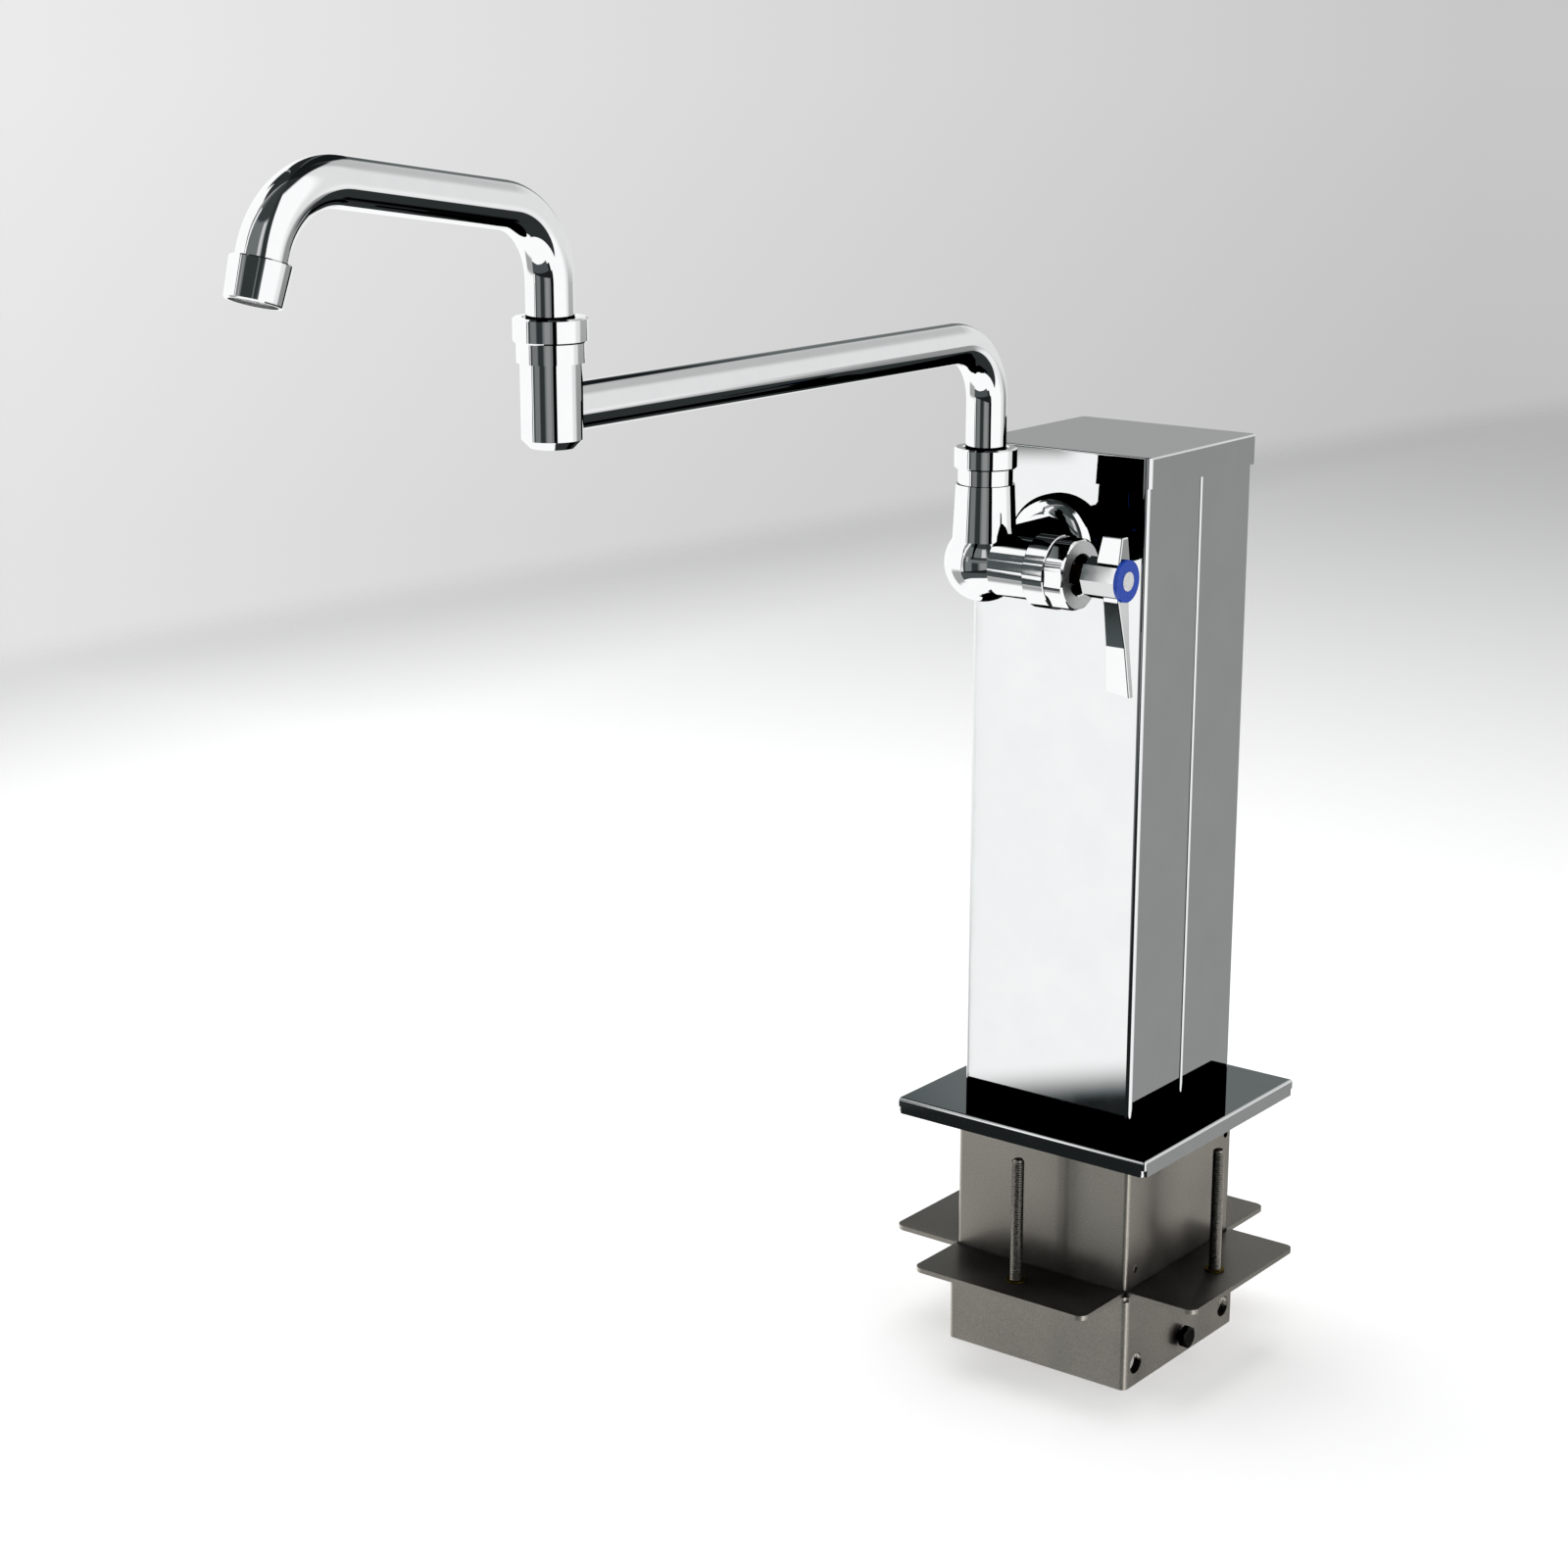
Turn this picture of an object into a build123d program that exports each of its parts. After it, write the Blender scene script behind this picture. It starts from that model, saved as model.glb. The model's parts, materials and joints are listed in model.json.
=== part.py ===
from build123d import *
import os
from math import cos, radians, sin, sqrt, tan

os.makedirs("parts", exist_ok=True)

# A pot filler on a square column that is clamped through a counter.
# Lengths are in millimetres. The origin is the centre of the column on the counter's top face.
# +Z is up, -Y is the front, where the valve and the spout are, and +X is the handle's side.

# Every cut runs this far past the face that it opens
overrun = 2.0
# Radial room between a male and a female thread, and between a tube and a ring brazed on it
thread_gap = 0.1
# Radial room between a shaft and the bore that it turns in
turning_gap = 0.08
# Angles in degrees
quarter_turn = 90
hexagon_turn = 30

# Column: two folded channels that meet in a seam on both sides
column_side = 100.0
column_sheet = 1.2
column_corner_radius = 2.5
seam_bend_radius = 1.6
seam_lip_depth = 14.0

# Cap: a folded lid over the column
cap_top_height = 352.3
cap_sheet = 1.2
cap_gap = 0.4
cap_skirt = 15.0
cap_corner_radius = 3.2
cap_edge_radius = 1.0

# Flange plate: a shallow tray turned upside down on the counter
flange_side = 150.0
flange_sheet = 1.5
flange_height = 8.5
flange_lip_depth = 6.0
flange_edge_radius = 1.4
flange_corner_radius = 1.2
flange_notch_radius = 2.2
column_seat_depth = 8.0

# Sleeve: a square tube under the flange that goes through the counter
sleeve_side = 104.0
sleeve_sheet = 1.5
sleeve_corner_radius = 2.4
sleeve_drop = 127.0
pilot_hole_radius = 2.0
low_pilot_offset = 42.5
low_pilot_drop = 65.3
high_pilot_offset = 45.8
high_pilot_drop = 19.0

# Seal in the flange's hollow, round the cut-out in the counter
seal_gap = 0.4

# Clamp frame: a folded collar on the sleeve with a tab on each side
frame_gap = 0.4
frame_sheet = 2.5
frame_height = 53.5
frame_corner_radius = 3.0
frame_inner_radius = 2.6
frame_bend_radius = 1.2
tab_drop = 74.5
tab_length = 37.1
tab_width = 104.0
tab_corner_radius = 5.0
relief_radius = 2.4
side_hole_radius = 5.5
side_hole_spacing = 88.4
side_hole_rise = 11.8

# Jack screws: threaded rods that push up against the counter's underside
jack_edge_distance = 18.0
jack_diameter = 6.35
jack_length = 77.5
jack_tip_drop = 8.0
jack_tip_chamfer = 0.8
jack_socket_width = 3.2
jack_socket_depth = 5.0
insert_flange_radius = 5.0
insert_flange_height = 1.0
insert_body_radius = 4.2
insert_bulge_radius = 5.2
insert_length = 9.0

# Lock screws: hexagon screws in the frame's sides that press on the sleeve
lock_diameter = 6.35
lock_head_width = 11.1
lock_head_height = 4.0
lock_standoff = 2.0
lock_gap = 0.1
lock_rise = 11.5

# Arm tube and the swivel joint that both arms share
tube_diameter = 19.05
tube_wall = 1.25
socket_gap = 0.3
socket_depth = 16.0
spigot_radius = 12.0
spigot_height = 3.0
ring_radius = 11.5
ring_height = 2.4
ring_gap = 0.3
nut_radius = 14.75
nut_height = 9.8
nut_lip_height = 3.2
nut_hole_radius = 10.4
nut_edge = 0.7
water_bore_radius = 7.6
packing_section = 1.8
packing_gap = 0.05
first_packing_depth = 2.2
packing_spacing = 3.8

# Valve body: an elbow where the shank, the barrel and the outlet leg meet
outlet_reach = 64.2
elbow_radius = 18.8
leg_foot_radius = 15.7
leg_top_radius = 13.85
leg_rise = 37.4
leg_collar_radius = 12.9
leg_collar_height = 7.5
shank_radius = 13.5
shank_thread_radius = 10.48
shank_thread_reach = 22.0
barrel_radius = 14.8
chamber_radius = 10.6
chamber_start = 9.0
seat_bore_radius = 5.5
inlet_bore_radius = 6.5
outlet_port_radius = 2.6
outlet_port_height = 13.0
outlet_port_angle = 118.0

# Escutcheon: a turned dome between the valve body and the column, this far below the cap
dome_clearance = 7.1
escutcheon_radius = 24.1
escutcheon_height = 13.0
escutcheon_band = 2.0
escutcheon_face_radius = 15.5
escutcheon_recess_depth = 7.0
escutcheon_wall = 2.0

# Shank fastening, supply elbow, riser and its lower end
shank_hole_gap = 0.6
washer_radius = 19.0
washer_height = 2.0
locknut_width = 30.0
locknut_height = 6.0
supply_elbow_radius = 13.2
supply_elbow_reach = 26.0
supply_elbow_overlap = 12.0
supply_socket_depth = 12.0
riser_diameter = 15.0
riser_wall = 1.0
riser_bottom_drop = 96.0
adapter_hex_width = 24.0
adapter_hex_height = 9.0
adapter_socket_height = 10.0
adapter_thread_length = 14.0

# Bonnet and the cartridge under it
bonnet_collar_radius = 17.5
bonnet_collar_length = 8.8
bonnet_hex_width = 32.0
bonnet_hex_length = 10.7
bonnet_bevel_angle = 25.0
bonnet_recess_radius = 9.5
bonnet_recess_depth = 8.0
bonnet_spigot_length = 9.0
cartridge_length = 14.5
cartridge_wall = 1.8
cartridge_window_width = 7.0
seat_ring_length = 2.0
seat_ring_gap = 0.2
disc_thickness = 2.5
disc_gap = 0.02
disc_port_radius = 2.2
disc_port_reach = 4.2

# Stem, handle and index cap
stem_radius = 4.5
stem_foot_radius = 7.4
stem_foot_length = 3.0
stem_packing_section = 1.6
hub_clearance = 4.7
hub_length = 18.8
hub_width = 18.0
hub_sides = 8
hub_bevel = 0.8
hub_socket_depth = 13.0
hub_socket_gap = 0.05
stem_end_radius = 3.9
screw_thread_radius = 2.0
screw_length = 12.0
screw_head_radius = 3.9
screw_head_height = 2.6
screw_drive_width = 2.5
index_radius = 9.8
index_height = 2.0
index_bore_radius = 4.5
index_button_crown = 0.3
stub_height = 20.0
stub_foot_width = 12.5
stub_top_width = 10.8
stub_foot_depth = 9.0
stub_top_depth = 5.0
lever_root_width = 8.6
lever_tip_width = 13.0
lever_lean = 1.0
lever_root_depth = 9.0
lever_kink_depth = 4.2
lever_tip_depth = 3.6
lever_kink_drop = 31.0
lever_drop = 52.0
lever_tip_drop = 2.1
handle_edge = 0.7

# Lower arm and the pivot body at its end
lower_arm_rise = 105.2
lower_arm_length = 302.0
lower_bend_radius = 29.0
pivot_radius = 12.2
pivot_foot_drop = 14.6
pivot_foot_bevel = 3.4
pivot_shoulder_rise = 18.7
pivot_top_rise = 26.5
pivot_collar_radius = 13.5
pivot_floor = 5.5

# Upper arm and its outlet
upper_corner_rise = 76.5
upper_reach = 139.3
upper_slope_angle = 8.6
upper_bend_radius = 31.0
outlet_bend_radius = 33.0
outlet_lean_angle = 18.0
outlet_length = 45.9
housing_radius = 11.4
housing_tip_radius = 10.6
housing_mouth_radius = 9.0
housing_length = 15.3
housing_edge = 0.5
housing_lip = 1.2
insert_disc_height = 6.0
insert_disc_gap = 0.1
insert_hole_radius = 1.4
insert_hole_spacing = 3.3
insert_hole_rings = 2
spout_washer_height = 1.6

# Places that follow from the sizes above
flange_top = flange_height
flange_under = flange_height - flange_sheet
cap_under = cap_top_height - cap_sheet
cap_side = column_side + 2 * (cap_gap + cap_sheet)
frame_inner = sleeve_side + 2 * frame_gap
frame_side = frame_inner + 2 * frame_sheet
frame_bottom = -(tab_drop + frame_height)
tab_reach = frame_side / 2 + tab_length
jack_reach = tab_reach - jack_edge_distance
valve_height = cap_top_height - cap_skirt - dome_clearance - escutcheon_radius
outlet_y = -(column_side / 2 + outlet_reach)
valve_centre = (0, outlet_y, valve_height)
tube_radius = tube_diameter / 2
tube_bore_radius = tube_radius - tube_wall
socket_radius = tube_radius + socket_gap
leg_shoulder = valve_height + leg_rise
leg_top = leg_shoulder + leg_collar_height
arm_height = valve_height + lower_arm_rise
pivot_y = outlet_y - lower_arm_length
pivot_shoulder = arm_height + pivot_shoulder_rise
pivot_top = arm_height + pivot_top_rise
pivot_foot = arm_height - pivot_foot_drop
cartridge_start = chamber_start + seat_ring_length
bonnet_foot = cartridge_start + cartridge_length
barrel_length = bonnet_foot + bonnet_spigot_length
bonnet_collar_end = barrel_length + bonnet_collar_length
bonnet_end = bonnet_collar_end + bonnet_hex_length
handle_start = bonnet_end + hub_clearance
handle_end = handle_start + hub_length
riser_y = -column_side / 2 + shank_thread_reach + supply_elbow_reach - supply_elbow_overlap

# Axes and drawing planes of the valve
leg_axis = Axis(valve_centre, (0, 0, 1))
barrel_axis = Axis(valve_centre, (1, 0, 0))
shank_axis = Axis(valve_centre, (0, 1, 0))
front_plane = Plane(valve_centre, x_dir=(1, 0, 0), z_dir=(0, -1, 0))
side_plane = Plane(valve_centre, x_dir=(0, 1, 0), z_dir=(1, 0, 0))


def save(part, name):
    """Label a finished piece and write its file."""
    part.label = name
    export_step(part, f"parts/{name}.step")


def barrel_plane(distance):
    """Plane across the barrel's axis, this far from the elbow's centre."""
    return Plane((distance, outlet_y, valve_height), x_dir=(0, 1, 0), z_dir=(1, 0, 0))


def turned(plane, outline, axis):
    """Add a full turn of a closed outline, drawn on a plane through the axis."""
    with BuildSketch(plane) as profile:
        with BuildLine():
            Polyline(*outline, close=True)
        make_face()
    revolve(profile.sketch, axis=axis)


# Column halves


def column_plan(turn):
    """Plan of one folded column half, the front one turned by the given angle."""
    with BuildSketch() as plan:
        Rectangle(column_side, column_side / 2, align=(Align.CENTER, Align.MAX))
        fillet(plan.vertices().group_by(Axis.Y)[0], column_corner_radius)
        fillet(plan.vertices().group_by(Axis.Y)[-1], seam_bend_radius)
        offset(amount=-column_sheet, mode=Mode.SUBTRACT)
        slot_width = column_side - 2 * seam_lip_depth
        Rectangle(slot_width, column_sheet, align=(Align.CENTER, Align.MAX), mode=Mode.SUBTRACT)
    return plan.sketch.rotate(Axis.Z, turn)


column_height = cap_under - flange_top

with BuildPart() as front_channel:
    with BuildSketch(Plane.XY.offset(flange_top)):
        add(column_plan(0))
    extrude(amount=column_height)
    with BuildSketch(Plane.XZ.offset(column_side / 2 + overrun)):
        with Locations((0, valve_height)):
            Circle(shank_thread_radius + shank_hole_gap)
    extrude(amount=-(column_sheet + 2 * overrun), mode=Mode.SUBTRACT)

with BuildPart() as rear_channel:
    with BuildSketch(Plane.XY.offset(flange_top)):
        add(column_plan(2 * quarter_turn))
    extrude(amount=column_height)

save(front_channel.part, "front_channel")
save(rear_channel.part, "rear_channel")

# Cap

with BuildPart() as cap:
    with BuildSketch(Plane.XY.offset(cap_top_height)):
        RectangleRounded(cap_side, cap_side, cap_corner_radius)
    extrude(amount=-cap_skirt)
    fillet(cap.faces().sort_by(Axis.Z)[-1].edges(), cap_edge_radius)
    cap_inside = cap_side - 2 * cap_sheet
    with BuildSketch(Plane.XY.offset(cap_under)):
        RectangleRounded(cap_inside, cap_inside, cap_corner_radius - cap_sheet)
    extrude(amount=-(cap_skirt + overrun), mode=Mode.SUBTRACT)

save(cap.part, "cap")

# Flange plate

with BuildPart() as flange_plate:
    with BuildSketch():
        RectangleRounded(flange_side, flange_side, flange_corner_radius)
    extrude(amount=flange_height)
    fillet(flange_plate.faces().sort_by(Axis.Z)[-1].edges(), flange_edge_radius)
    tray_side = flange_side - 2 * flange_sheet
    with BuildSketch(Plane.XY.offset(flange_under)):
        Rectangle(tray_side, tray_side)
    extrude(amount=-(flange_under - flange_sheet), mode=Mode.SUBTRACT)
    lip_opening = tray_side - 2 * flange_lip_depth
    with BuildSketch(Plane.XY.offset(flange_sheet + overrun)):
        Rectangle(lip_opening, lip_opening)
    extrude(amount=-(flange_sheet + 2 * overrun), mode=Mode.SUBTRACT)
    column_opening = column_side - 2 * column_seat_depth
    with BuildSketch(Plane.XY.offset(flange_top + overrun)):
        Rectangle(column_opening, column_opening)
    extrude(amount=-(flange_sheet + 2 * overrun), mode=Mode.SUBTRACT)
    with BuildSketch(Plane.XY.offset(-overrun)):
        with GridLocations(flange_side, flange_side, 2, 2):
            Circle(flange_notch_radius)
    extrude(amount=overrun + flange_sheet + flange_notch_radius, mode=Mode.SUBTRACT)

save(flange_plate.part, "flange_plate")

# Counter seal

with BuildPart() as counter_seal:
    seal_outer = lip_opening - 2 * seal_gap
    seal_inner = sleeve_side + 2 * seal_gap
    with BuildSketch():
        RectangleRounded(seal_outer, seal_outer, seal_gap)
        RectangleRounded(seal_inner, seal_inner, sleeve_corner_radius, mode=Mode.SUBTRACT)
    extrude(amount=flange_under)

save(counter_seal.part, "counter_seal")

# Sleeve

side_hole_height = frame_bottom + side_hole_rise
pilot_holes = (
    (-low_pilot_offset, -low_pilot_drop),
    (high_pilot_offset, -high_pilot_drop),
)

with BuildPart() as sleeve:
    sleeve_inside = sleeve_side - 2 * sleeve_sheet
    with BuildSketch(Plane.XY.offset(flange_under)):
        RectangleRounded(sleeve_side, sleeve_side, sleeve_corner_radius)
        inner_radius = sleeve_corner_radius - sleeve_sheet
        RectangleRounded(sleeve_inside, sleeve_inside, inner_radius, mode=Mode.SUBTRACT)
    extrude(amount=-(flange_under + sleeve_drop))
    with BuildSketch(Plane.YZ.offset(sleeve_side / 2 + overrun)):
        with Locations(*pilot_holes):
            Circle(pilot_hole_radius)
    extrude(amount=-(sleeve_sheet + 2 * overrun), mode=Mode.SUBTRACT)
    with BuildSketch(Plane.YZ.offset(sleeve_side / 2 + overrun)):
        with Locations((0, side_hole_height)):
            with GridLocations(side_hole_spacing, side_hole_spacing, 2, 1):
                Circle(side_hole_radius)
    extrude(amount=-(sleeve_side + 2 * overrun), mode=Mode.SUBTRACT)

save(sleeve.part, "sleeve")

# Clamp frame

lock_height = frame_bottom + lock_rise


def jack_places():
    """The four jack axes, one on each tab, in the order right, back, left and front."""
    return PolarLocations(jack_reach, 4)


with BuildPart() as clamp_frame:
    with BuildSketch(Plane.XY.offset(frame_bottom)):
        RectangleRounded(frame_side, frame_side, frame_corner_radius)
    extrude(amount=frame_height - frame_sheet)
    with BuildSketch(Plane.XY.offset(-tab_drop - frame_sheet)):
        RectangleRounded(2 * tab_reach, tab_width, tab_corner_radius)
        RectangleRounded(tab_width, 2 * tab_reach, tab_corner_radius)
    extrude(amount=frame_sheet)
    with BuildSketch(Plane.XY.offset(frame_bottom - overrun)):
        RectangleRounded(frame_inner, frame_inner, frame_inner_radius)
    extrude(amount=frame_height + 2 * overrun, mode=Mode.SUBTRACT)
    mouth = clamp_frame.faces().sort_by(Axis.Z)[-1].inner_wires()[0].edges()
    fillet(mouth, frame_bend_radius)
    with BuildSketch(Plane.XY.offset(-tab_drop + overrun)):
        with GridLocations(frame_side, frame_side, 2, 2):
            Circle(relief_radius)
        with jack_places():
            Circle(insert_body_radius)
    extrude(amount=-(frame_sheet + relief_radius + overrun), mode=Mode.SUBTRACT)
    with BuildSketch(Plane.YZ.offset(frame_side / 2 + overrun)):
        with Locations((0, side_hole_height)):
            with GridLocations(side_hole_spacing, side_hole_spacing, 2, 1):
                Circle(side_hole_radius)
        with Locations((0, lock_height)):
            Circle(lock_diameter / 2 + thread_gap)
    extrude(amount=-(frame_side + 2 * overrun), mode=Mode.SUBTRACT)

save(clamp_frame.part, "clamp_frame")

# Jack inserts: threaded inserts set in the tabs from above

jack_radius = jack_diameter / 2
insert_profile = (
    (jack_radius + thread_gap, insert_flange_height),
    (insert_flange_radius, insert_flange_height),
    (insert_flange_radius, 0),
    (insert_body_radius, 0),
    (insert_body_radius, -frame_sheet),
    (insert_bulge_radius, -frame_sheet),
    (insert_bulge_radius, -frame_sheet - insert_flange_height),
    (insert_body_radius, -frame_sheet - 2 * insert_flange_height),
    (insert_body_radius, -insert_length),
    (jack_radius + thread_gap, -insert_length),
)

with BuildPart() as jack_inserts:
    for place in jack_places().locations:
        centre = (place.position.X, place.position.Y, -tab_drop)
        insert_plane = Plane(centre, x_dir=(1, 0, 0), z_dir=(0, -1, 0))
        turned(insert_plane, insert_profile, Axis(centre, (0, 0, 1)))

save(jack_inserts.part, "jack_inserts")

# Jack screws


def jack_screw(place):
    """Threaded rod with a hexagon socket in its lower end, through one tab's insert."""
    centre = place.position
    with BuildPart() as screw:
        with BuildSketch(Plane((centre.X, centre.Y, -jack_tip_drop))):
            Circle(jack_radius)
        extrude(amount=-jack_length)
        ends = screw.edges().filter_by(GeomType.CIRCLE)
        chamfer(ends, jack_tip_chamfer)
        with BuildSketch(Plane((centre.X, centre.Y, -jack_tip_drop - jack_length))):
            RegularPolygon(jack_socket_width / 2, 6, major_radius=False)
        extrude(amount=jack_socket_depth, mode=Mode.SUBTRACT)
    return screw.part


jack_names = ("jack_screw_right", "jack_screw_back", "jack_screw_left", "jack_screw_front")
for name, place in zip(jack_names, jack_places().locations):
    save(jack_screw(place), name)

# Lock screws


def lock_screw(side):
    """Hexagon screw through one side of the clamp frame; side is 1 or -1 along X."""
    tip = side * (sleeve_side / 2 + lock_gap)
    head_foot = side * (frame_side / 2 + lock_standoff)
    outward = (side, 0, 0)
    with BuildPart() as screw:
        with BuildSketch(Plane((tip, 0, lock_height), x_dir=(0, 1, 0), z_dir=outward)):
            Circle(lock_diameter / 2)
        extrude(amount=abs(head_foot - tip))
        with BuildSketch(Plane((head_foot, 0, lock_height), x_dir=(0, 1, 0), z_dir=outward)):
            RegularPolygon(lock_head_width / 2, 6, major_radius=False, rotation=hexagon_turn)
        extrude(amount=lock_head_height)
    return screw.part


save(lock_screw(1), "lock_screw_right")
save(lock_screw(-1), "lock_screw_left")

# Packing rings of the swivel joints


def packing_heights(top):
    """Heights of the two packing rings below the top of a swivel socket."""
    first = top - first_packing_depth
    return (first, first - packing_spacing)


groove_radius = tube_radius + packing_gap + packing_section


def cut_swivel_socket(y, top):
    """Cut the socket for a tube's foot, its packing grooves and the thread's bevel."""
    with BuildSketch(Plane((0, y, top - socket_depth))) as socket:
        Circle(socket_radius)
    extrude(socket.sketch, amount=socket_depth + spigot_height + overrun, mode=Mode.SUBTRACT)
    for height in packing_heights(top):
        with BuildSketch(Plane((0, y, height - packing_section / 2))) as groove:
            Circle(groove_radius + packing_gap)
        extrude(groove.sketch, amount=packing_section, mode=Mode.SUBTRACT)


def swivel_nut(y, foot):
    """Round nut over the spigot, with a lip that keeps the tube's ring down."""
    axis = Axis((0, y, 0), (0, 0, 1))
    inner = spigot_radius + thread_gap
    top = foot + nut_height
    outline = (
        (inner, foot),
        (nut_radius - nut_edge, foot),
        (nut_radius, foot + nut_edge),
        (nut_radius, top - nut_edge),
        (nut_radius - nut_edge, top),
        (nut_hole_radius + nut_edge, top),
        (nut_hole_radius, top - nut_edge),
        (nut_hole_radius, top - nut_lip_height),
        (inner, top - nut_lip_height),
    )
    with BuildPart() as nut:
        turned(Plane((0, y, 0), x_dir=(1, 0, 0), z_dir=(0, -1, 0)), outline, axis)
    return nut.part


def swivel_ring(y, shoulder):
    """Ring brazed on the tube, trapped between the spigot and the nut's lip."""
    with BuildPart() as ring:
        with BuildSketch(Plane((0, y, shoulder + spigot_height + ring_gap))):
            Circle(ring_radius)
            Circle(tube_radius, mode=Mode.SUBTRACT)
        extrude(amount=ring_height)
    return ring.part


def swivel_packing(y, top):
    """Two square-cut rubber rings between the socket and the tube."""
    with BuildPart() as rings:
        for height in packing_heights(top):
            with BuildSketch(Plane((0, y, height - packing_section / 2 + packing_gap))):
                Circle(groove_radius)
                Circle(tube_radius + packing_gap, mode=Mode.SUBTRACT)
            extrude(amount=packing_section - 2 * packing_gap)
    return rings.part


save(swivel_nut(outlet_y, leg_top), "lower_swivel_nut")
save(swivel_ring(outlet_y, leg_top), "lower_swivel_ring")
save(swivel_packing(outlet_y, leg_top), "lower_swivel_packing")
save(swivel_nut(pivot_y, pivot_top), "upper_swivel_nut")
save(swivel_ring(pivot_y, pivot_top), "upper_swivel_ring")
save(swivel_packing(pivot_y, pivot_top), "upper_swivel_packing")

# Valve body

leg_profile = (
    (0, 0),
    (leg_foot_radius, 0),
    (leg_top_radius, leg_rise),
    (leg_collar_radius, leg_rise),
    (leg_collar_radius, leg_rise + leg_collar_height),
    (spigot_radius, leg_rise + leg_collar_height),
    (spigot_radius, leg_rise + leg_collar_height + spigot_height),
    (0, leg_rise + leg_collar_height + spigot_height),
)
shank_step = outlet_reach - escutcheon_height
shank_tip = outlet_reach + shank_thread_reach

with BuildPart() as valve_body:
    with Locations(valve_centre):
        Sphere(elbow_radius)
    turned(front_plane, leg_profile, leg_axis)
    with BuildSketch(barrel_plane(0)):
        Circle(barrel_radius)
    extrude(amount=barrel_length)
    with BuildSketch(Plane.XZ.offset(-outlet_y)):
        with Locations((0, valve_height)):
            Circle(shank_radius)
    extrude(amount=-shank_step)
    with BuildSketch(Plane.XZ.offset(-outlet_y)):
        with Locations((0, valve_height)):
            Circle(shank_thread_radius)
    extrude(amount=-shank_tip)
    cut_swivel_socket(outlet_y, leg_top)
    leg_bore_foot = valve_height + outlet_port_height
    with BuildSketch(Plane((0, outlet_y, leg_top))):
        Circle(water_bore_radius)
    extrude(amount=-(leg_top - leg_bore_foot), mode=Mode.SUBTRACT)
    with BuildSketch(barrel_plane(barrel_length + overrun)):
        Circle(chamber_radius)
    extrude(amount=-(barrel_length + overrun - chamber_start), mode=Mode.SUBTRACT)
    with BuildSketch(barrel_plane(chamber_start + overrun)):
        Circle(seat_bore_radius)
    extrude(amount=-(chamber_start + overrun), mode=Mode.SUBTRACT)
    with BuildSketch(Plane.XZ.offset(-outlet_y - shank_tip - overrun)):
        with Locations((0, valve_height)):
            Circle(inlet_bore_radius)
    extrude(amount=shank_tip + overrun, mode=Mode.SUBTRACT)
    port_turn = radians(outlet_port_angle)
    port_way = (sin(port_turn), 0, cos(port_turn))
    with BuildSketch(Plane((0, outlet_y, leg_bore_foot + outlet_port_radius), z_dir=port_way)):
        Circle(outlet_port_radius)
    extrude(amount=(chamber_start + cartridge_window_width) / sin(port_turn), mode=Mode.SUBTRACT)

save(valve_body.part, "valve_body")

# Escutcheon

escutcheon_hole = shank_thread_radius + shank_hole_gap
with BuildPart() as escutcheon:
    with BuildSketch(side_plane):
        with BuildLine():
            foot_y = outlet_reach
            face_y = outlet_reach - escutcheon_height
            rim = Line((foot_y, escutcheon_hole), (foot_y, escutcheon_radius))
            band = Line(rim @ 1, (foot_y - escutcheon_band, escutcheon_radius))
            dome = EllipticalCenterArc(
                (foot_y - escutcheon_band, escutcheon_face_radius),
                escutcheon_height - escutcheon_band,
                escutcheon_radius - escutcheon_face_radius,
                start_angle=quarter_turn,
                arc_size=quarter_turn,
            )
            face = Line((face_y, escutcheon_face_radius), (face_y, escutcheon_hole))
            Line(face @ 1, rim @ 0)
        make_face()
    revolve(axis=shank_axis)
    with BuildSketch(Plane.XZ.offset(column_side / 2 - overrun)):
        with Locations((0, valve_height)):
            Circle(escutcheon_radius - escutcheon_wall)
            Circle(shank_radius, mode=Mode.SUBTRACT)
    extrude(amount=escutcheon_recess_depth + overrun, mode=Mode.SUBTRACT)

save(escutcheon.part, "escutcheon")

# Shank washer and locknut, inside the column

inner_face = column_side / 2 - column_sheet

with BuildPart() as shank_washer:
    with BuildSketch(Plane.XZ.offset(inner_face)):
        with Locations((0, valve_height)):
            Circle(washer_radius)
            Circle(escutcheon_hole, mode=Mode.SUBTRACT)
    extrude(amount=-washer_height)

with BuildPart() as shank_locknut:
    with BuildSketch(Plane.XZ.offset(inner_face - washer_height)):
        with Locations((0, valve_height)):
            RegularPolygon(locknut_width / 2, 6, major_radius=False)
            Circle(shank_thread_radius + thread_gap, mode=Mode.SUBTRACT)
    extrude(amount=-locknut_height)

save(shank_washer.part, "shank_washer")
save(shank_locknut.part, "shank_locknut")

# Supply elbow

elbow_mouth = -column_side / 2 + shank_thread_reach - supply_elbow_overlap
riser_radius = riser_diameter / 2
elbow_foot = valve_height - supply_elbow_reach

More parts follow.
